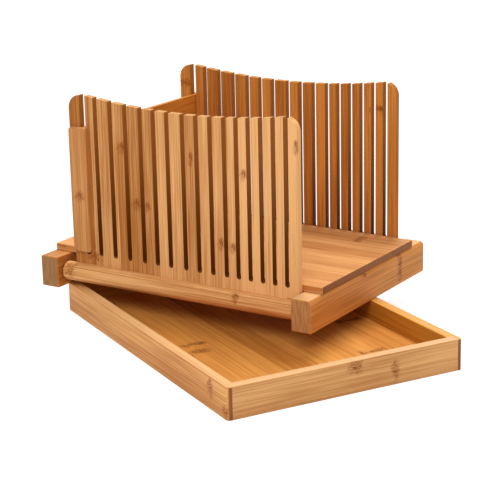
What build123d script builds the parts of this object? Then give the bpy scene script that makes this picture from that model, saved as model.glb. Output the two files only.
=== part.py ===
"""Bread slicer guide of bamboo standing across its crumb tray.

Two slotted panels stand on hinge bars between two rails, a base board lies on the rails
and an end board slides in the first slot. The tray is a loose box with a grooved-in floor,
turned under the slicer. Lengths are in mm. Pieces are drawn in the slicer's own plan, with
X=0 midway between the rails, Y=0 at their near ends and Z=0 at their undersides (the tray's
rim), and are then moved into the part's frame by FRAME.
"""

import os
from math import cos, radians, sin

from build123d import *

# rails, lying on the tray's rim
RAIL_GAP = 245.0          # between the rails' inner faces
RAIL_W = 19.0
RAIL_H = 28.5
RAIL_L = 205.0
RIGHT_CROWN = 4.0         # rounding of the right rail's top outer edge
LEFT_CROWN = 1.6          # the same on the left rail, which is only eased
RAIL_EASE = 1.2           # all other edges
RAIL_IN = RAIL_GAP / 2
RAIL_OUT = RAIL_IN + RAIL_W

# hinge bars and their pins
BAR_R = 8.5
BAR_Y = 12.4              # axis behind the rails' near ends
BAR_Z = 14.3
BAR_END_GAP = 1.8         # bar end to rail
BAR_EASE = 1.5
PIN_R = 3.0
PIN_RUN = 0.05            # radial running clearance in the bar
PIN_GLUE = 0.03           # radial glue clearance in the rail
PIN_IN_RAIL = 14.0
PIN_IN_BAR = 8.0
HOLE_SPARE = 0.4          # blind holes are this much deeper than what stands in them

# base board and the blind pegs that hold it on the rails
BOARD_T = 6.3
BOARD_MARGIN = 1.0        # rail top left bare beside the board
BOARD_FROM_END = 21.3     # rail end to board edge
BOARD_EASE = 0.8
BOARD_TOP = RAIL_H + BOARD_T
PEG_R = 2.5
PEG_GLUE = 0.03
PEG_IN_RAIL = 12.0
PEG_IN_BOARD = 4.0
PEG_FROM_END = 45.0       # rail end to peg axis

# slotted panels
PANEL_T = 6.4
PANEL_FACE = 1.0          # outer face behind the bar's axis
PANEL_SEAT = 2.0          # foot of the panel below the bar's axis
SEAT_END_GAP = 0.2        # end of the seat to the panel's foot
NOTCH_GAP = 0.4           # panel over the round end of the bar
PANEL_LEFT = -111.3
PANEL_RIGHT_GAP = 0.3     # panel's right edge to the right rail
PANEL_RIGHT = RAIL_IN - PANEL_RIGHT_GAP
PANEL_RISE = 141.6        # above the base board
PANEL_TOP = BOARD_TOP + PANEL_RISE
PANEL_CORNER_R = 12.0
PANEL_Y = BAR_Y + PANEL_FACE
PANEL_FOOT = BAR_Z - PANEL_SEAT
ARC_SAG = 7.4             # depth of the hollowed top edge

# slots: the first takes the end board, the others guide the knife
STOP_SLOT_X = -96.5
STOP_SLOT_W = 6.0
KNIFE_SLOT_W = 4.5
SLOT_DROP = 2.6           # foot of the slots below the base board's top
SLOT_FOOT = BOARD_TOP - SLOT_DROP
THICK, MEDIUM, THIN = 16.0, 14.0, 12.0
PITCHES = [MEDIUM] + [THICK] * 3 + [MEDIUM] * 2 + [THICK] + [MEDIUM] * 3 + [THIN] * 5
ARC_FROM = STOP_SLOT_X + STOP_SLOT_W / 2            # the top edge is hollowed from the first slot
ARC_TO = STOP_SLOT_X + sum(PITCHES)                 # to the last

# end board and the cleats behind its slot
STOP_T = 4.0
STOP_RISE = 113.2         # above the base board
STOP_TOP = BOARD_TOP + STOP_RISE
STOP_END_GAP = 0.4        # end of the board to each cleat
STOP_EASE = 0.6
CLEAT_LEFT = -110.0
CLEAT_RIGHT = -90.8
CLEAT_T = 5.0
CLEAT_CORNER_R = 3.0
CLEAT_EASE = 1.8          # edges of the outer face

# crumb tray
TRAY_L = 316.8
TRAY_W = 215.3
TRAY_H = 26.7
TRAY_WALL = 9.5
TRAY_LIP = 4.4            # long wall left beyond the rabbet, seen as end grain
TRAY_ROUND = 3.0
TRAY_EASE = 0.9
TRAY_X = 62.4             # centre in the slicer's plan
TRAY_Y = 36.1
TRAY_TURN = -29.3         # degrees about Z
FLOOR_T = 4.2
FLOOR_TOP = 8.5
GROOVE_DEPTH = 4.0
FLOOR_SPARE = 0.5         # floor edge to groove bottom

# frame: middle of the whole part's bounding box, on the table
TURN = radians(abs(TRAY_TURN))
TRAY_REACH = (TRAY_L / 2 - TRAY_ROUND) * cos(TURN) + (TRAY_W / 2 - TRAY_ROUND) * sin(TURN) + TRAY_ROUND
FRAME = Pos(-(TRAY_X + TRAY_REACH - RAIL_OUT) / 2, -TRAY_Y, TRAY_H)
FAR = Pos(0, RAIL_L, 0)   # carries a piece mirrored across XZ to the far side

LOW = (Align.MIN, Align.MIN, Align.MIN)


def block(x0: float, x1: float, y0: float, y1: float, z0: float, z1: float) -> Part:
    """Box between two corners."""
    return Pos(x0, y0, z0) * Box(x1 - x0, y1 - y0, z1 - z0, align=LOW)


def along_x(radius: float, x0: float, x1: float) -> Part:
    """Cylinder on a hinge bar's axis, from x0 to x1."""
    rod = Cylinder(radius, x1 - x0, align=(Align.CENTER, Align.CENTER, Align.MIN))
    return Pos(x0, BAR_Y, BAR_Z) * Rot(0, 90, 0) * rod


def far(piece: Part) -> Part:
    """The far side's copy of a near piece."""
    return FAR * mirror(piece, Plane.XZ)


def peg(radius: float, y: float, z0: float, z1: float) -> Part:
    """Upright cylinder on the right rail's middle line."""
    rod = Cylinder(radius, z1 - z0, align=(Align.CENTER, Align.CENTER, Align.MIN))
    return Pos(RAIL_IN + RAIL_W / 2, y, z0) * rod


def top_loop(part: Part, z: float) -> ShapeList:
    """Edges that lie at height z."""
    return part.edges().filter_by(lambda e: abs(e.bounding_box().min.Z - z) < 1e-4
                                  and abs(e.bounding_box().max.Z - z) < 1e-4)


def lengthwise(part: Part) -> ShapeList:
    """Edges along Y, from the low inner one to the high outer ones."""
    return part.edges().filter_by(Axis.Y).sort_by(lambda e: e.center().X + e.center().Z)


PEG_YS = (PEG_FROM_END, RAIL_L - PEG_FROM_END)


def right_rail(crown: float) -> Part:
    """Rail with a rounded top outer edge, eased edges, two pin holes and two peg holes."""
    rail = block(RAIL_IN, RAIL_OUT, 0, RAIL_L, 0, RAIL_H)
    rail = fillet(lengthwise(rail)[-1], crown)
    ends = rail.faces().sort_by(Axis.Y)
    rail = fillet(ends[0].edges() + ends[-1].edges() + lengthwise(rail)[:3], RAIL_EASE)
    hole = along_x(PIN_R + PIN_GLUE, RAIL_IN - 1, RAIL_IN + PIN_IN_RAIL + HOLE_SPARE)
    rail = rail - hole - far(hole)
    for y in PEG_YS:
        rail -= peg(PEG_R + PEG_GLUE, y, RAIL_H - PEG_IN_RAIL - HOLE_SPARE, RAIL_H + 1)
    return rail


def base_board() -> Part:
    """Board that lies on the rails, with blind holes for its pegs."""
    side = RAIL_OUT - BOARD_MARGIN
    board = block(-side, side, BOARD_FROM_END, RAIL_L - BOARD_FROM_END, RAIL_H, BOARD_TOP)
    board = fillet(board.edges(), BOARD_EASE)
    for y in PEG_YS:
        hole = peg(PEG_R + PEG_GLUE, y, RAIL_H - 1, RAIL_H + PEG_IN_BOARD + HOLE_SPARE)
        board = board - hole - mirror(hole, Plane.YZ)
    return board


def near_bar() -> Part:
    """Turned bar with a stepped seat for the panel and a pin hole in each end."""
    end = RAIL_IN - BAR_END_GAP
    bar = along_x(BAR_R, -end, end)
    bar = fillet(bar.edges().filter_by(GeomType.CIRCLE), BAR_EASE)
    seat = SEAT_END_GAP - PANEL_LEFT
    bar -= block(-seat, seat, PANEL_Y, PANEL_Y + 2 * BAR_R, PANEL_FOOT, BAR_Z + 2 * BAR_R)
    hole = along_x(PIN_R + PIN_RUN, end - PIN_IN_BAR - HOLE_SPARE, end + 1)
    return bar - hole - mirror(hole, Plane.YZ)


def near_panel() -> Part:
    """Comb panel: graded slots, hollowed top edge, rounded corners and a notch over the bar end."""
    plate = block(PANEL_LEFT, PANEL_RIGHT, PANEL_Y, PANEL_Y + PANEL_T, PANEL_FOOT, PANEL_TOP)
    across = plate.edges().filter_by(Axis.Y).group_by(Axis.Z)[-1]
    plate = fillet(across, PANEL_CORNER_R)
    plate -= block(-PANEL_LEFT, PANEL_RIGHT + 1, PANEL_Y - 1, PANEL_Y + PANEL_T + 1,
                   PANEL_FOOT - 1, BAR_Z + BAR_R + NOTCH_GAP)
    half_chord = (ARC_TO - ARC_FROM) / 2
    arc_r = (half_chord ** 2 + ARC_SAG ** 2) / (2 * ARC_SAG)
    plate -= Pos(ARC_FROM + half_chord, PANEL_Y, PANEL_TOP - ARC_SAG + arc_r) * Rot(
        90, 0, 0) * Cylinder(arc_r, 4 * PANEL_T)
    x = STOP_SLOT_X
    widths = [STOP_SLOT_W] + [KNIFE_SLOT_W] * len(PITCHES)
    for width, step in zip(widths, PITCHES + [0.0]):
        half = width / 2
        plate -= block(x - half, x + half, PANEL_Y - 1, PANEL_Y + PANEL_T + 1,
                       SLOT_FOOT + half, PANEL_TOP + 1)
        plate -= Pos(x, PANEL_Y + PANEL_T / 2, SLOT_FOOT + half) * Rot(90, 0, 0) * Cylinder(
            half, PANEL_T + 2)
        x += step
    return plate


def end_board() -> Part:
    """Board across the guide that the loaf's end rests against."""
    x0 = STOP_SLOT_X - STOP_T / 2
    y0 = PANEL_Y + STOP_END_GAP
    board = block(x0, x0 + STOP_T, y0, RAIL_L - y0, BOARD_TOP, STOP_TOP)
    return fillet(board.edges(), STOP_EASE)


def near_cleat() -> Part:
    """Upright cleat glued on the panel's outer face, closing the first slot."""
    cleat = block(CLEAT_LEFT, CLEAT_RIGHT, PANEL_Y - CLEAT_T, PANEL_Y, BOARD_TOP, STOP_TOP)
    cleat = fillet(cleat.edges().filter_by(Axis.Y), CLEAT_CORNER_R)
    return fillet(cleat.faces().sort_by(Axis.Y)[0].edges(), CLEAT_EASE)


def tray() -> dict[str, Part]:
    """Four walls in rabbeted corners and the floor in their groove, in the tray's own plan."""
    low = (Align.CENTER, Align.CENTER, Align.MIN)
    inner_l, inner_w = TRAY_L - 2 * TRAY_WALL, TRAY_W - 2 * TRAY_WALL
    rim = Box(TRAY_L, TRAY_W, TRAY_H, align=low)
    rim = fillet(rim.edges().filter_by(Axis.Z), TRAY_ROUND)
    rim -= Pos(0, 0, -1) * Box(inner_l, inner_w, TRAY_H + 2, align=low)
    rim = fillet(top_loop(rim, TRAY_H), TRAY_EASE)
    rim -= Pos(0, 0, FLOOR_TOP - FLOOR_T) * Box(
        inner_l + 2 * GROOVE_DEPTH, inner_w + 2 * GROOVE_DEPTH, FLOOR_T, align=low)
    edge = TRAY_W / 2
    lip = block(-TRAY_L, TRAY_L, edge - TRAY_LIP, edge + 1, -1, TRAY_H + 1)
    lip += block(-inner_l / 2, inner_l / 2, edge - TRAY_WALL, edge - TRAY_LIP, -1, TRAY_H + 1)
    short = block(inner_l / 2, TRAY_L, TRAY_LIP - edge, edge - TRAY_LIP, -1, TRAY_H + 1)
    spread = 2 * (GROOVE_DEPTH - FLOOR_SPARE)
    floor = Pos(0, 0, FLOOR_TOP - FLOOR_T) * Box(
        inner_l + spread, inner_w + spread, FLOOR_T, align=low)
    return {
        "tray_far_wall": rim & lip,
        "tray_near_wall": rim & mirror(lip, Plane.XZ),
        "tray_right_wall": rim & short,
        "tray_left_wall": rim & mirror(short, Plane.YZ),
        "tray_floor": floor,
    }


def main() -> None:
    """Draw every piece, move it into the part's frame and export it."""
    bar, panel, cleat = near_bar(), near_panel(), near_cleat()
    bar_end = RAIL_IN - BAR_END_GAP
    pin = along_x(PIN_R, bar_end - PIN_IN_BAR, RAIL_IN + PIN_IN_RAIL)
    pin_left = mirror(pin, Plane.YZ)
    right_pegs = [peg(PEG_R, y, RAIL_H - PEG_IN_RAIL, RAIL_H + PEG_IN_BOARD) for y in PEG_YS]
    pieces = {
        "right_rail": right_rail(RIGHT_CROWN),
        "left_rail": mirror(right_rail(LEFT_CROWN), Plane.YZ),
        "base_board": base_board(),
        "board_pegs": Compound(children=right_pegs + [mirror(p, Plane.YZ) for p in right_pegs]),
        "near_right_pin": pin,
        "near_left_pin": pin_left,
        "far_right_pin": far(pin),
        "far_left_pin": far(pin_left),
        "near_hinge_bar": bar,
        "far_hinge_bar": far(bar),
        "near_panel": panel,
        "far_panel": far(panel),
        "near_cleat": cleat,
        "far_cleat": far(cleat),
        "end_board": end_board(),
    }
    on_table = Pos(TRAY_X, TRAY_Y, -TRAY_H) * Rot(0, 0, TRAY_TURN)
    pieces |= {name: on_table * piece for name, piece in tray().items()}
    os.makedirs("parts", exist_ok=True)
    for name, piece in pieces.items():
        export_step(FRAME * piece, f"parts/{name}.step")


main()
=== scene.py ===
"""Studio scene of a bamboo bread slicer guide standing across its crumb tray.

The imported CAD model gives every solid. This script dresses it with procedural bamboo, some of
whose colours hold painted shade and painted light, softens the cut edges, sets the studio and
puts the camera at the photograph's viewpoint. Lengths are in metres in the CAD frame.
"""

import logging
import math
from dataclasses import dataclass, replace
from enum import Enum

import bpy
from mathutils import Matrix, Vector


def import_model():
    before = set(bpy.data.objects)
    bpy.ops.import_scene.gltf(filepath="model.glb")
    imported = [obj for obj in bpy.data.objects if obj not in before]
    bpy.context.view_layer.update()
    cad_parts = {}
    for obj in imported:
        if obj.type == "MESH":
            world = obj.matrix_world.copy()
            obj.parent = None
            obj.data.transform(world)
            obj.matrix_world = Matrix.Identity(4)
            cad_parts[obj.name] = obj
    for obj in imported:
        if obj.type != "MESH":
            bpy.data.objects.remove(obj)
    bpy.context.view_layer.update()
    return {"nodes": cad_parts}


LOG = logging.getLogger("slicer_scene")
MM = 0.001


class Grain(Enum):
    """Direction of the bamboo's fibres in a piece's own coordinates."""

    X = 0
    Y = 1
    Z = 2

    def swizzle(self) -> tuple[int, int, int]:
        """Component numbers of the directions along the fibres, across and through."""
        return {Grain.X: (0, 1, 2), Grain.Y: (1, 0, 2), Grain.Z: (2, 0, 1)}[self]


class NodeWriter:
    """Adds shader nodes to one material or world and links them."""

    def __init__(self, owner: bpy.types.Material | bpy.types.World) -> None:
        """Clears the owner's tree.

        Args:
            owner: the material or world to write.
        """
        self.tree = owner.node_tree
        self.tree.nodes.clear()

    def add(self, kind: str, **settings: object) -> bpy.types.Node:
        """Adds a node.

        Args:
            kind: the node's Blender type.
            settings: properties set on the node.

        Returns:
            The new node.
        """
        node = self.tree.nodes.new(kind)
        for name, value in settings.items():
            setattr(node, name, value)
        return node

    def feed(self, socket: bpy.types.NodeSocket, value: object) -> None:
        """Links an output, or sets a number, on a socket.

        Args:
            socket: the input to fill.
            value: an output socket, a number or a sequence.
        """
        if isinstance(value, bpy.types.NodeSocket):
            self.tree.links.new(value, socket)
        else:
            socket.default_value = value

    def math(self, operation: str, *values: object) -> bpy.types.NodeSocket:
        """Adds a Math node.

        Args:
            operation: the Math operation.
            values: its inputs in order.

        Returns:
            The result's socket.
        """
        node = self.add("ShaderNodeMath", operation=operation)
        for socket, value in zip(node.inputs, values):
            self.feed(socket, value)
        return node.outputs[0]

    def smooth(self, value: object, low: float, high: float) -> bpy.types.NodeSocket:
        """Smooth step of a value from 0 at low to 1 at high.

        Args:
            value: the input.
            low: where the result is 0.
            high: where the result is 1.

        Returns:
            The result's socket.
        """
        node = self.add("ShaderNodeMapRange", interpolation_type="SMOOTHSTEP")
        for name, given in (("Value", value), ("From Min", low), ("From Max", high)):
            self.feed(node.inputs[name], given)
        return node.outputs["Result"]

    def vector(self, *values: object) -> bpy.types.NodeSocket:
        """Joins three values into a vector.

        Args:
            values: the three components.

        Returns:
            The vector's socket.
        """
        node = self.add("ShaderNodeCombineXYZ")
        for socket, value in zip(node.inputs, values):
            self.feed(socket, value)
        return node.outputs[0]

    def scaled(self, values: tuple[object, ...], scales: tuple[float, ...]
               ) -> bpy.types.NodeSocket:
        """Joins three values into a vector, each times its own scale.

        Args:
            values: the three components.
            scales: their scales.

        Returns:
            The vector's socket.
        """
        return self.vector(*(self.math("MULTIPLY", value, scale)
                             for value, scale in zip(values, scales)))

    def centred(self, value: object, reach: float) -> bpy.types.NodeSocket:
        """Spreads a value of 0 to 1 evenly about 0.

        Args:
            value: the input.
            reach: the whole width of the result.

        Returns:
            The result's socket.
        """
        return self.math("MULTIPLY", self.math("SUBTRACT", value, 0.5), reach)

    def seen_rays(self) -> bpy.types.NodeSocket:
        """Share that is 1 for camera, glossy and transmission rays.

        Returns:
            The share's socket.
        """
        path = self.add("ShaderNodeLightPath").outputs
        mirrored = self.math("MAXIMUM", path["Is Glossy Ray"], path["Is Transmission Ray"])
        return self.math("MAXIMUM", path["Is Camera Ray"], mirrored)

    def noise(self, at: bpy.types.NodeSocket, detail: float) -> bpy.types.NodeSocket:
        """Noise of unit scale, read at a vector.

        Args:
            at: the vector.
            detail: octaves of the noise.

        Returns:
            The noise's value.
        """
        node = self.add("ShaderNodeTexNoise")
        self.feed(node.inputs["Vector"], at)
        node.inputs["Scale"].default_value = 1.0
        node.inputs["Detail"].default_value = detail
        return node.outputs["Fac"]

    def random(self, at: bpy.types.NodeSocket) -> bpy.types.NodeSocket:
        """One random number for each vector.

        Args:
            at: the vector.

        Returns:
            The number's socket.
        """
        node = self.add("ShaderNodeTexWhiteNoise", noise_dimensions="3D")
        self.feed(node.inputs["Vector"], at)
        return node.outputs["Value"]

    def mix(self, amount: object, first: object, second: object, blend: str = "MIX"
            ) -> bpy.types.NodeSocket:
        """Mixes two colours.

        Args:
            amount: how much of the second.
            first: the colour at 0.
            second: the colour at 1.
            blend: the blend type.

        Returns:
            The colour's socket.
        """
        node = self.add("ShaderNodeMix", data_type="RGBA", blend_type=blend)
        self.feed(node.inputs["Factor"], amount)
        self.feed(node.inputs[6], first)
        self.feed(node.inputs[7], second)
        return node.outputs[2]


def srgb(red: float, green: float, blue: float) -> tuple[float, float, float, float]:
    """Linear colour of screen values from 0 to 255.

    Args:
        red: red screen value.
        green: green screen value.
        blue: blue screen value.

    Returns:
        The linear colour with full alpha.
    """
    def linear(value: float) -> float:
        """Linear value of one channel."""
        share = value / 255
        return share / 12.92 if share <= 0.04045 else ((share + 0.055) / 1.055) ** 2.4
    return (linear(red), linear(green), linear(blue), 1.0)


# Noise scales are in waves for each metre along, across and through the fibres.
STREAK_RANGE = (0.34, 0.66)
FIBRE_SCALES = ((8.0, 520.0), (18.0, 1100.0))
FIBRE_SHARES = (0.42, 0.58)
CLOUD_SCALE = (7.0, 45.0, 45.0)
CLOUD_TINT = 0.8
SEAM_WIDTH = 0.35 * MM
SHADE_RANGE = (-0.1, 1.1)
END_SCALE = (620.0, 60.0)
END_TINT = 0.4
SPECK_SCALE = (420.0, 900.0, 900.0)
SPECK_RANGE = (0.42, 0.6)
SPECK_LEAST = 0.35
MARK_TURNS = 7.3
MARK_BLUR = (180.0, 180.0, 180.0)
MARK_WANDER = 14 * MM
PATCH_BLUR = (230.0, 230.0, 230.0)
PATCH_WANDER = 1.8
PATCH_RANGE = (1.35, 0.3)
BUMP_DEPTH = 0.4 * MM


@dataclass(frozen=True)
class Patch:
    """One smudged brown mark of a bamboo node, at a chosen place on a piece."""

    at: tuple[float, float, float]
    along: float = 4 * MM
    across: float = 7 * MM


@dataclass(frozen=True)
class SlotPaintedShade:
    """Painted shade, partly dark cut wood, in comb panel slots between two ends and two heights.
    """

    left: float
    right: float
    foot: float
    top: float
    low: tuple[float, float, float, float]
    high: tuple[float, float, float, float]


@dataclass(frozen=True)
class Bamboo:
    """Carbonised bamboo glued up from strips, with fibres, glue seams and node marks."""

    name: str
    pale: tuple[float, float, float, float]
    dark: tuple[float, float, float, float]
    end: tuple[float, float, float, float]
    mark: tuple[float, float, float, float]
    strip: float = 19 * MM
    layer: float = 30 * MM
    strip_tint: float = 0.4
    fibre_tint: float = 0.5
    seam_tint: float = 0.3
    mark_pitch: float = 160 * MM
    mark_share: float = 0.45
    mark_reach: float = 6 * MM
    mark_tint: float = 0.92
    # Painted shade: how much faces across the fibres darken.
    side_painted_shade: float = 0.0
    # Painted light: how much upward faces pale, as a painted sheen of the lit tops.
    painted_top_light: float = 0.0
    # Painted light: shade change for each metre along X, and the X where it is zero.
    painted_light_slope: float = 0.0
    painted_light_zero: float = -65 * MM
    roughness: float = 0.5
    sheen: float = 0.15
    bump: float = 0.15

    def make(self, label: str, grain: Grain, turn: float, seed: float,
             patches: tuple[Patch, ...] = (), slots: SlotPaintedShade | None = None
             ) -> bpy.types.Material:
        """Builds the material for one piece.

        Args:
            label: the piece's name.
            grain: direction of the fibres.
            turn: the piece's turn about Z in radians, undone before the grain is read.
            seed: shifts the pattern so that pieces differ.
            patches: node marks at chosen places, in the piece's coordinates.
            slots: the painted shade inside the slots, if the piece has slots.

        Returns:
            The material.
        """
        material = bpy.data.materials.new(f"{self.name}_{label}")
        material.use_nodes = True
        w = NodeWriter(material)
        coords = w.add("ShaderNodeTexCoord")
        place, normal = coords.outputs["Object"], coords.outputs["Normal"]
        along, plain, through = self._axes(w, place, grain, turn)
        across = w.math("ADD", plain, seed)
        fibre = self._fibres(w, along, across, through)
        rows = w.math("DIVIDE", across, self.strip)
        strip = w.math("FLOOR", rows)
        layer = w.math("FLOOR", w.math("DIVIDE", through, self.layer))
        tint = w.random(w.vector(strip, layer, seed))
        shade = w.math("ADD", w.centred(fibre, self.fibre_tint), 0.5)
        shade = w.math("ADD", shade, w.centred(tint, self.strip_tint))
        cloud = w.noise(w.scaled((along, across, through), CLOUD_SCALE), 2.0)
        shade = w.math("ADD", shade, w.centred(cloud, CLOUD_TINT))
        seam = w.smooth(w.math("PINGPONG", rows, 0.5), SEAM_WIDTH / self.strip, 0.0)
        shade = w.math("ADD", shade, w.math("MULTIPLY", seam, self.seam_tint))
        shade = self._paint_light_slope(w, place, shade)
        colour = w.mix(w.smooth(shade, *SHADE_RANGE), self.pale, self.dark)
        marks = self._marks(w, along, across, through, tint)
        for patch in patches:
            marks = w.math("MAXIMUM", marks, self._patch(w, place, grain, turn, patch))
        colour = w.mix(w.math("MULTIPLY", marks, self.mark_tint), colour, self.mark)
        end = w.vector(w.math("MULTIPLY", across, END_SCALE[0]),
                       w.math("MULTIPLY", through, END_SCALE[1]), seed)
        streak = w.smooth(w.noise(end, 1.0), *STREAK_RANGE)
        colour = self._faces(w, normal, grain, turn, colour, streak)
        if slots:
            colour = self._paint_slot_shade(w, coords, colour, slots)
        shader = w.add("ShaderNodeBsdfPrincipled")
        w.feed(shader.inputs["Base Color"], colour)
        shader.inputs["Roughness"].default_value = self.roughness
        shader.inputs["Specular IOR Level"].default_value = self.sheen
        bump = w.add("ShaderNodeBump")
        bump.inputs["Strength"].default_value = self.bump
        bump.inputs["Distance"].default_value = BUMP_DEPTH
        w.feed(bump.inputs["Height"], fibre)
        w.feed(shader.inputs["Normal"], bump.outputs["Normal"])
        out = w.add("ShaderNodeOutputMaterial")
        w.feed(out.inputs["Surface"], shader.outputs["BSDF"])
        material.diffuse_color = self.pale
        return material

    @staticmethod
    def _axes(w: NodeWriter, source: bpy.types.NodeSocket, grain: Grain, turn: float
              ) -> tuple[bpy.types.NodeSocket, ...]:
        """Components of a vector along the fibres, across and through.

        Args:
            w: the node writer.
            source: the vector in the piece's coordinates.
            grain: direction of the fibres.
            turn: turn about Z in radians, undone first.

        Returns:
            The three components.
        """
        if turn:
            rotate = w.add("ShaderNodeVectorRotate", rotation_type="Z_AXIS")
            w.feed(rotate.inputs["Vector"], source)
            rotate.inputs["Angle"].default_value = -turn
            source = rotate.outputs["Vector"]
        split = w.add("ShaderNodeSeparateXYZ")
        w.feed(split.inputs[0], source)
        return tuple(split.outputs[i] for i in grain.swizzle())

    @staticmethod
    def _fibres(w: NodeWriter, along: object, across: object, through: object
                ) -> bpy.types.NodeSocket:
        """Long streaks in two widths.

        Args:
            w: the node writer.
            along: coordinate along the fibres.
            across: coordinate across them.
            through: coordinate through the board.

        Returns:
            Streak value from 0 to 1.
        """
        parts = []
        for (length, width), share in zip(FIBRE_SCALES, FIBRE_SHARES):
            at = w.scaled((along, across, through), (length, width, width))
            streak = w.smooth(w.noise(at, 1.0), *STREAK_RANGE)
            parts.append(w.math("MULTIPLY", streak, share))
        return w.math("ADD", *parts)

    def _paint_light_slope(self, w: NodeWriter, place: bpy.types.NodeSocket, shade: object
               ) -> bpy.types.NodeSocket:
        """Paints light that changes slowly along X, the given slope for each metre.

        Args:
            w: the node writer.
            place: the place in the piece's coordinates.
            shade: the shade so far.

        Returns:
            The shade's socket.
        """
        split = w.add("ShaderNodeSeparateXYZ")
        w.feed(split.inputs[0], place)
        off = w.math("SUBTRACT", split.outputs[0], self.painted_light_zero)
        return w.math("ADD", shade, w.math("MULTIPLY", off, self.painted_light_slope))

    @staticmethod
    def _specks(w: NodeWriter, along: object, across: object, through: object
                ) -> bpy.types.NodeSocket:
        """Short dashes along the fibres, which make up a node mark.

        Args:
            w: the node writer.
            along: coordinate along the fibres.
            across: coordinate across them.
            through: coordinate through the board.

        Returns:
            Dash strength from SPECK_LEAST to 1.
        """
        at = w.scaled((along, across, through), SPECK_SCALE)
        dash = w.smooth(w.noise(at, 2.0), *SPECK_RANGE)
        return w.math("ADD", w.math("MULTIPLY", dash, 1 - SPECK_LEAST), SPECK_LEAST)

    def _marks(self, w: NodeWriter, along: object, across: object, through: object,
               tint: object) -> bpy.types.NodeSocket:
        """Node marks: on some strips a smudged band at a place of its own.

        Args:
            w: the node writer.
            along: coordinate along the fibres.
            across: coordinate across them.
            through: coordinate through the board.
            tint: the strip's random number, which places its marks.

        Returns:
            Mark strength from 0 to 1.
        """
        turns = w.math("ADD", w.math("DIVIDE", along, self.mark_pitch),
                       w.math("MULTIPLY", tint, MARK_TURNS))
        off = w.math("SUBTRACT", w.math("FRACT", turns), 0.5)
        chosen = w.random(w.vector(w.math("FLOOR", turns), tint, 0.0))
        blur = w.noise(w.scaled((along, across, through), MARK_BLUR), 2.0)
        reach = w.math("ADD", w.math("MULTIPLY", w.math("ABSOLUTE", off), self.mark_pitch),
                       w.centred(blur, MARK_WANDER))
        band = w.smooth(reach, self.mark_reach, 0.0)
        band = w.math("MULTIPLY", band, w.math("LESS_THAN", chosen, self.mark_share))
        return w.math("MULTIPLY", band, self._specks(w, along, across, through))

    def _patch(self, w: NodeWriter, place: bpy.types.NodeSocket, grain: Grain, turn: float,
               patch: Patch) -> bpy.types.NodeSocket:
        """One node mark at a chosen place.

        Args:
            w: the node writer.
            place: the place in the piece's coordinates.
            grain: direction of the fibres.
            turn: turn about Z in radians.
            patch: the mark.

        Returns:
            Mark strength from 0 to 1.
        """
        shift = w.add("ShaderNodeVectorMath", operation="SUBTRACT")
        w.feed(shift.inputs[0], place)
        shift.inputs[1].default_value = patch.at
        along, across, through = self._axes(w, shift.outputs[0], grain, turn)
        blur = w.noise(w.scaled((along, across, through), PATCH_BLUR), 2.0)
        length = w.add("ShaderNodeVectorMath", operation="LENGTH")
        w.feed(length.inputs[0], w.vector(w.math("DIVIDE", along, patch.along),
                                          w.math("DIVIDE", across, patch.across),
                                          w.math("DIVIDE", through, patch.across)))
        distance = w.math("ADD", length.outputs["Value"], w.centred(blur, PATCH_WANDER))
        specks = self._specks(w, along, across, through)
        return w.math("MULTIPLY", w.smooth(distance, *PATCH_RANGE), specks)

    def _faces(self, w: NodeWriter, normal: bpy.types.NodeSocket, grain: Grain, turn: float,
               colour: object, streak: object) -> bpy.types.NodeSocket:
        """Darkens end grain, paints shade on the sides and paints light on the upper faces.

        Args:
            w: the node writer.
            normal: the surface normal in the piece's coordinates.
            grain: direction of the fibres.
            turn: turn about Z in radians.
            colour: the colour so far.
            streak: streak value of the end grain.

        Returns:
            The colour's socket.
        """
        end, side, _ = self._axes(w, normal, grain, turn)
        facing = w.smooth(w.math("ABSOLUTE", end), 0.75, 0.95)
        end_colour = w.mix(w.math("MULTIPLY", streak, END_TINT), self.end, self.mark)
        colour = w.mix(facing, colour, end_colour)
        # Painted shade: faces across the fibres darken towards the mark colour.
        if self.side_painted_shade:
            shaded_side = w.smooth(w.math("ABSOLUTE", side), 0.8, 0.95)
            colour = w.mix(w.math("MULTIPLY", shaded_side, self.side_painted_shade), colour, self.mark)
        # Painted light: upward faces pale, standing in for the sheen of the lit tops.
        if self.painted_top_light:
            split = w.add("ShaderNodeSeparateXYZ")
            w.feed(split.inputs[0], normal)
            upper = w.smooth(split.outputs[2], 0.85, 0.97)
            colour = w.mix(w.math("MULTIPLY", upper, self.painted_top_light), colour, TOP_LIGHT_COLOUR)
        return colour

    @staticmethod
    def _paint_slot_shade(w: NodeWriter, coords: bpy.types.Node, colour: object, slots: SlotPaintedShade
               ) -> bpy.types.NodeSocket:
        """Paints shade on the faces inside the slots, the most at their feet, partly dark cut
        wood.

        Args:
            w: the node writer.
            coords: the texture coordinates.
            colour: the colour so far.
            slots: where and how dark the painted shade is.

        Returns:
            The colour's socket.
        """
        normal = w.add("ShaderNodeSeparateXYZ")
        w.feed(normal.inputs[0], coords.outputs["Normal"])
        place = w.add("ShaderNodeSeparateXYZ")
        w.feed(place.inputs[0], coords.outputs["Object"])
        inside = w.smooth(w.math("ABSOLUTE", normal.outputs[1]), 0.5, 0.3)
        upright = w.smooth(w.math("ABSOLUTE", normal.outputs[0]), 0.5, 0.8)
        low = w.math("LESS_THAN", place.outputs[2], slots.foot + 4 * MM)
        inside = w.math("MULTIPLY", inside, w.math("MAXIMUM", upright, low))
        for test, part, limit in (("GREATER_THAN", 0, slots.left), ("LESS_THAN", 0, slots.right),
                                  ("GREATER_THAN", 2, slots.foot)):
            inside = w.math("MULTIPLY", inside, w.math(test, place.outputs[part], limit))
        height = w.smooth(place.outputs[2], slots.foot, slots.top)
        return w.mix(inside, colour, w.mix(height, slots.low, slots.high))


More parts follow.
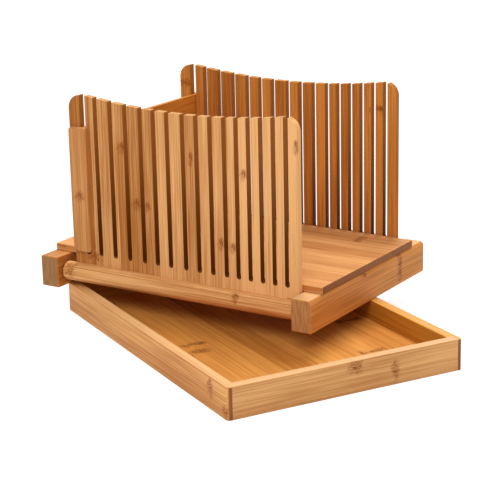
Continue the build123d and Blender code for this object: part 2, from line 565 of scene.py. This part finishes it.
@dataclass(frozen=True)
class Steel:
    """Drawn steel of the hinge pins."""

    colour: tuple[float, float, float, float] = (0.6, 0.6, 0.6, 1.0)
    roughness: float = 0.35

    def make(self) -> bpy.types.Material:
        """Builds the material."""
        material = bpy.data.materials.new("drawn_steel")
        material.use_nodes = True
        shader = material.node_tree.nodes["Principled BSDF"]
        shader.inputs["Base Color"].default_value = self.colour
        shader.inputs["Metallic"].default_value = 1.0
        shader.inputs["Roughness"].default_value = self.roughness
        return material


BROWN = srgb(138, 66, 14)
# Pale colour of the painted light and sheen on upward faces.
TOP_LIGHT_COLOUR = srgb(240, 196, 142)
# Painted shade in the panels' slots, darkest at their feet, partly dark cut wood.
SLOT_PAINTED_SHADE = SlotPaintedShade(left=-155.2 * MM, right=59.5 * MM, foot=57 * MM, top=190 * MM,
                  low=srgb(104, 56, 16), high=srgb(178, 112, 50))

# Painted light: the near panel is painted paler towards +X, where more light falls.
NEAR_BAMBOO = Bamboo("near_bamboo", pale=srgb(240, 182, 120), dark=srgb(166, 98, 38),
                     end=srgb(226, 170, 112), mark=BROWN, strip=14 * MM, painted_light_slope=-3.0, mark_share=0.0,
                     roughness=0.6, sheen=0.04)
# Painted shade: a darker copy of the panel bamboo for the far side, in the near panel's shade.
FAR_SHADE_BAMBOO = Bamboo("far_shade_bamboo", pale=srgb(219, 143, 65), dark=srgb(157, 90, 32),
                    end=srgb(214, 150, 88), mark=BROWN, strip=15 * MM, roughness=0.6, sheen=0.04)
STOP_BAMBOO = Bamboo("stop_bamboo", pale=srgb(228, 146, 58), dark=srgb(166, 92, 22),
                     end=srgb(210, 146, 84), mark=BROWN, mark_share=0.2)
CLEAT_BAMBOO = Bamboo("cleat_bamboo", pale=srgb(217, 155, 94), dark=srgb(169, 103, 45),
                      end=srgb(222, 164, 108), mark=BROWN, mark_share=0.0)
BAR_BAMBOO = Bamboo("bar_bamboo", pale=srgb(250, 194, 130), dark=srgb(186, 116, 54),
                    end=srgb(190, 132, 80), mark=BROWN, strip=6 * MM, layer=9 * MM, seam_tint=0.7,
                    mark_share=0.0)
RAIL_BAMBOO = Bamboo("rail_bamboo", pale=srgb(228, 152, 74), dark=srgb(168, 96, 32),
                     end=srgb(190, 138, 86), mark=BROWN, mark_share=0.3, painted_top_light=0.6)
# Painted shade: a darker copy of the rail bamboo for the left rail, with less painted top light.
LEFT_SHADE_BAMBOO = replace(RAIL_BAMBOO, name="left_shade_bamboo", end=srgb(158, 118, 74), painted_top_light=0.15)
BOARD_BAMBOO = Bamboo("board_bamboo", pale=srgb(238, 176, 112), dark=srgb(180, 108, 48),
                      end=srgb(142, 86, 36), mark=BROWN, layer=2.1 * MM, mark_share=0.3)
WALL_BAMBOO = Bamboo("wall_bamboo", pale=srgb(242, 179, 106), dark=srgb(182, 108, 43),
                     end=srgb(140, 90, 52), mark=BROWN, strip=20 * MM, layer=13 * MM,
                     mark_share=0.0, painted_top_light=0.6)
RIGHT_BAMBOO = Bamboo("right_bamboo", pale=srgb(228, 172, 112), dark=srgb(172, 108, 50),
                      end=srgb(140, 90, 52), mark=BROWN, strip=20 * MM, layer=13 * MM,
                      mark_share=0.0, painted_top_light=0.7)
# Painted shade: a darker copy of the wall bamboo for the tray walls that lie in the slicer's
# shade; their sides darken further.
SHADED_BAMBOO = Bamboo("shaded_bamboo", pale=srgb(246, 178, 72), dark=srgb(190, 112, 14),
                       end=srgb(140, 90, 52), mark=srgb(120, 58, 2), strip=20 * MM, layer=13 * MM,
                       side_painted_shade=0.5, painted_top_light=0.3)
FLOOR_BAMBOO = Bamboo("floor_bamboo", pale=srgb(236, 164, 80), dark=srgb(182, 108, 38),
                      end=srgb(140, 92, 56), mark=srgb(104, 52, 14), strip=24 * MM)

PATCHES = {
    "near_panel": (
        Patch((-0.110, -0.023, 0.161), 6 * MM, 5 * MM),
        Patch((-0.096, -0.023, 0.112), 6 * MM, 5 * MM),
        Patch((-0.085, -0.023, 0.111), 5 * MM, 4 * MM),
        Patch((-0.009, -0.023, 0.088), 6 * MM, 4 * MM),
        Patch((0.003, -0.023, 0.086), 5 * MM, 4 * MM),
        Patch((0.008, -0.023, 0.137), 4 * MM, 2 * MM),
        Patch((0.066, -0.023, 0.180), 7 * MM, 3 * MM),
        Patch((-0.145, -0.023, 0.057), 6 * MM, 8 * MM),
        Patch((0.015, -0.023, 0.151), 5 * MM, 4 * MM),
        Patch((-0.038, -0.023, 0.159), 8 * MM, 3 * MM),
    ),
    "near_cleat": (Patch((-0.155, -0.028, 0.113), 5 * MM, 6 * MM),),
    "near_hinge_bar": (Patch((-0.168, -0.031, 0.045), 6 * MM, 8 * MM),
                       Patch((0.009, -0.031, 0.046), 4 * MM, 6 * MM)),
    "tray_near_wall": (Patch((0.068, -0.157, 0.018), 5 * MM, 8 * MM),
                       Patch((0.089, -0.169, 0.006), 5 * MM, 5 * MM)),
    "tray_right_wall": (Patch((0.148, -0.072, 0.022), 7 * MM, 7 * MM),
                        Patch((0.166, -0.040, 0.012), 4 * MM, 9 * MM)),
    "right_rail": (Patch((0.086, 0.056, 0.053), 5 * MM, 3 * MM),
                   Patch((0.086, 0.122, 0.040), 4 * MM, 9 * MM)),
    "tray_floor": (Patch((0.0, -0.071, 0.0085), 6 * MM, 9 * MM),),
}


@dataclass
class Dresser:
    """Gives CAD nodes their material and soft edges."""

    nodes: dict[str, bpy.types.Object]
    weld: float = 0.01 * MM
    count: int = 0

    def clad(self, name: str, finish: Bamboo, grain: Grain, seed: float, turn: float = 0.0,
             soften: float = 0.0, slots: SlotPaintedShade | None = None) -> None:
        """Dresses one node in bamboo of its own.

        Args:
            name: the node.
            finish: the bamboo's finish.
            grain: direction of the fibres.
            seed: shifts the pattern.
            turn: the piece's turn about Z in radians.
            soften: width of the softened edges in metres.
            slots: the painted shade inside the slots.
        """
        material = finish.make(name, grain, turn, seed, PATCHES.get(name, ()), slots)
        self.dress(name, material, soften)

    def dress(self, name: str, material: bpy.types.Material, soften: float) -> None:
        """Dresses one node.

        Args:
            name: the node.
            material: its material.
            soften: width of the softened edges in metres, 0 to leave them.
        """
        piece = self.nodes[name]
        piece.data.materials.clear()
        piece.data.materials.append(material)
        if soften:
            join = piece.modifiers.new("join_faces", "WELD")
            join.merge_threshold = self.weld
            bevel = piece.modifiers.new("soft_edges", "BEVEL")
            bevel.width = soften
            bevel.segments = 2
            bevel.limit_method = "ANGLE"
            bevel.angle_limit = math.radians(50)
            bevel.harden_normals = True
        self.count += 1
        LOG.info("dressed %s with %s", name, material.name)


@dataclass
class CrumbTray:
    """Loose tray: four walls in rabbeted corners around a grooved-in floor."""

    turn: float = math.radians(-29.3)
    turned_walls: tuple[tuple[str, Bamboo, Grain], ...] = (
        ("tray_near_wall", WALL_BAMBOO, Grain.X), ("tray_far_wall", SHADED_BAMBOO, Grain.X),
        ("tray_right_wall", RIGHT_BAMBOO, Grain.Y), ("tray_left_wall", SHADED_BAMBOO, Grain.Y))
    seeds: tuple[int, ...] = (3, 4, 8, 9)

    def build(self, dresser: Dresser) -> None:
        """Dresses the walls and the floor.

        Args:
            dresser: the dresser.
        """
        for (name, finish, grain), seed in zip(self.turned_walls, self.seeds):
            dresser.clad(name, finish, grain, seed, self.turn)
        dresser.clad("tray_floor", FLOOR_BAMBOO, Grain.X, 12, self.turn)


@dataclass
class SlicerBase:
    """Two rails, the board that lies on them, its pegs and the hinge pins."""

    rails: tuple[tuple[str, Bamboo], ...] = (("left_rail", LEFT_SHADE_BAMBOO),
                                             ("right_rail", RAIL_BAMBOO))
    pins: tuple[str, ...] = ("near_left_pin", "near_right_pin", "far_left_pin", "far_right_pin")

    def build(self, dresser: Dresser) -> None:
        """Dresses the rails, board, pegs and pins.

        Args:
            dresser: the dresser.
        """
        for seed, (name, finish) in enumerate(self.rails, 21):
            dresser.clad(name, finish, Grain.Y, seed)
        dresser.clad("base_board", BOARD_BAMBOO, Grain.X, 25)
        dresser.clad("board_pegs", RAIL_BAMBOO, Grain.Z, 26)
        steel = Steel().make()
        for name in self.pins:
            dresser.dress(name, steel, 0.0)


@dataclass
class SlottedSide:
    """One hinged side: comb panel, hinge bar and cleat."""

    side: str
    seed: int
    panel: Bamboo
    cleat: Bamboo
    edge: float = 0.5 * MM

    def build(self, dresser: Dresser) -> None:
        """Dresses the side's pieces.

        Args:
            dresser: the dresser.
        """
        dresser.clad(f"{self.side}_panel", self.panel, Grain.Z, self.seed, soften=self.edge,
                     slots=SLOT_PAINTED_SHADE)
        dresser.clad(f"{self.side}_cleat", self.cleat, Grain.Z, self.seed + 1)
        dresser.clad(f"{self.side}_hinge_bar", BAR_BAMBOO, Grain.X, self.seed + 2)


@dataclass
class EndStop:
    """Board that slides in the first slot."""

    seed: int = 51

    def build(self, dresser: Dresser) -> None:
        """Dresses the board.

        Args:
            dresser: the dresser.
        """
        dresser.clad("end_board", STOP_BAMBOO, Grain.Y, self.seed)


@dataclass
class Softbox:
    """One square area light aimed at a point."""

    name: str
    place: tuple[float, float, float]
    aim: tuple[float, float, float]
    size: float
    power: float

    def build(self) -> None:
        """Adds the light."""
        data = bpy.data.lights.new(self.name, "AREA")
        data.size = self.size
        data.energy = self.power
        lamp = bpy.data.objects.new(self.name, data)
        lamp.location = self.place
        ray = Vector(self.aim) - Vector(self.place)
        lamp.rotation_euler = ray.to_track_quat("-Z", "Y").to_euler()
        bpy.context.scene.collection.objects.link(lamp)


@dataclass
class Studio:
    """White floor and surroundings with soft lights."""

    floor_half: float = 4.0
    floor_drop: float = 0.05 * MM
    floor_white: float = 0.85
    floor_glow: float = 0.85
    floor_shadow: float = 0.32
    sky: float = 0.52
    lights: tuple[Softbox, ...] = (
        Softbox("key", (0.55, -1.5, 1.5), (0.0, 0.0, 0.08), 0.9, 17.5),
        Softbox("top", (-0.3, 0.75, 2.0), (0.0, 0.0, 0.0), 0.8, 26.5),
    )

    def build(self) -> None:
        """Adds the floor, the surroundings and the lights."""
        self._floor()
        self._surroundings()
        for light in self.lights:
            light.build()
        LOG.info("studio with %d lights", len(self.lights))

    def _floor(self) -> None:
        """White floor that keeps a pale shadow of the object."""
        half = self.floor_half
        mesh = bpy.data.meshes.new("studio_floor")
        mesh.from_pydata([(-half, -half, 0), (half, -half, 0), (half, half, 0), (-half, half, 0)],
                         [], [(0, 1, 2, 3)])
        floor = bpy.data.objects.new("studio_floor", mesh)
        floor.location.z = -self.floor_drop
        bpy.context.scene.collection.objects.link(floor)
        material = bpy.data.materials.new("studio_white")
        material.use_nodes = True
        w = NodeWriter(material)
        diffuse = w.add("ShaderNodeBsdfDiffuse")
        diffuse.inputs["Color"].default_value = (*[self.floor_white] * 3, 1.0)
        glow = w.add("ShaderNodeEmission")
        glow.inputs["Color"].default_value = (1.0, 1.0, 1.0, 1.0)
        glow.inputs["Strength"].default_value = self.floor_glow
        shadow = w.add("ShaderNodeBsdfDiffuse")
        shadow.inputs["Color"].default_value = (*[self.floor_shadow] * 3, 1.0)
        seen = w.add("ShaderNodeAddShader")
        w.feed(seen.inputs[0], glow.outputs["Emission"])
        w.feed(seen.inputs[1], shadow.outputs["BSDF"])
        mix = w.add("ShaderNodeMixShader")
        w.feed(mix.inputs[0], w.seen_rays())
        w.feed(mix.inputs[1], diffuse.outputs["BSDF"])
        w.feed(mix.inputs[2], seen.outputs[0])
        out = w.add("ShaderNodeOutputMaterial")
        w.feed(out.inputs["Surface"], mix.outputs[0])
        mesh.materials.append(material)

    def _surroundings(self) -> None:
        """White world, full white where it is seen past the floor or in a reflection."""
        world = bpy.data.worlds.new("studio_world")
        bpy.context.scene.world = world
        world.use_nodes = True
        w = NodeWriter(world)
        back = w.add("ShaderNodeBackground")
        w.feed(back.inputs["Color"], (1.0, 1.0, 1.0, 1.0))
        w.feed(back.inputs["Strength"], self.sky)
        seen = w.add("ShaderNodeBackground")
        w.feed(seen.inputs["Color"], (1.0, 1.0, 1.0, 1.0))
        w.feed(seen.inputs["Strength"], 1.0)
        mix = w.add("ShaderNodeMixShader")
        w.feed(mix.inputs[0], w.seen_rays())
        w.feed(mix.inputs[1], back.outputs[0])
        w.feed(mix.inputs[2], seen.outputs[0])
        out = w.add("ShaderNodeOutputWorld")
        w.feed(out.inputs["Surface"], mix.outputs[0])


@dataclass
class PhotoCamera:
    """Camera at the photograph's viewpoint, from a least-squares fit to the slicer."""

    azimuth: float = math.radians(32.8)
    tilt: float = math.radians(16.239)
    roll: float = math.radians(1.201)
    focal_px: float = 1623.05
    picture_px: float = 500.0
    sensor: float = 36.0
    shift_mm: tuple[float, float, float] = (-69.442, 50.734, 1404.075)
    slicer_mm: tuple[float, float, float] = (-55.317, -36.1, 26.7)

    def build(self) -> None:
        """Adds the camera and makes it the scene's."""
        right = Vector((math.cos(self.azimuth), math.sin(self.azimuth), 0.0))
        ahead = Vector((-math.sin(self.azimuth) * math.cos(self.tilt),
                        math.cos(self.azimuth) * math.cos(self.tilt), -math.sin(self.tilt)))
        down = ahead.cross(right)
        turned = math.cos(self.roll) * right + math.sin(self.roll) * down
        lower = math.cos(self.roll) * down - math.sin(self.roll) * right
        axes = Matrix((turned, lower, ahead))
        place = -(axes.transposed() @ Vector(self.shift_mm)) + Vector(self.slicer_mm)
        data = bpy.data.cameras.new("photo_camera")
        data.sensor_width = self.sensor
        data.lens = self.focal_px / self.picture_px * self.sensor
        data.clip_start, data.clip_end = 0.01, 50.0
        camera = bpy.data.objects.new("photo_camera", data)
        world = Matrix((turned, -lower, -ahead)).transposed().to_4x4()
        world.translation = place * MM
        camera.matrix_world = world
        bpy.context.scene.collection.objects.link(camera)
        bpy.context.scene.camera = camera
        LOG.info("camera at %s, lens %.1f mm", tuple(round(v, 3) for v in world.translation),
                 data.lens)


def main() -> None:
    """Builds the scene in order."""
    logging.basicConfig(level=logging.INFO, format="%(name)s: %(message)s")
    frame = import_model()
    bpy.context.scene.view_settings.view_transform = "Standard"
    PhotoCamera().build()
    Studio().build()
    dresser = Dresser(frame["nodes"])
    CrumbTray().build(dresser)
    SlicerBase().build(dresser)
    SlottedSide("near", 31, NEAR_BAMBOO, CLEAT_BAMBOO).build(dresser)
    SlottedSide("far", 41, FAR_SHADE_BAMBOO, FAR_SHADE_BAMBOO).build(dresser)
    EndStop().build(dresser)
    LOG.info("%d nodes dressed", dresser.count)


if __name__ == "__main__":
    main()
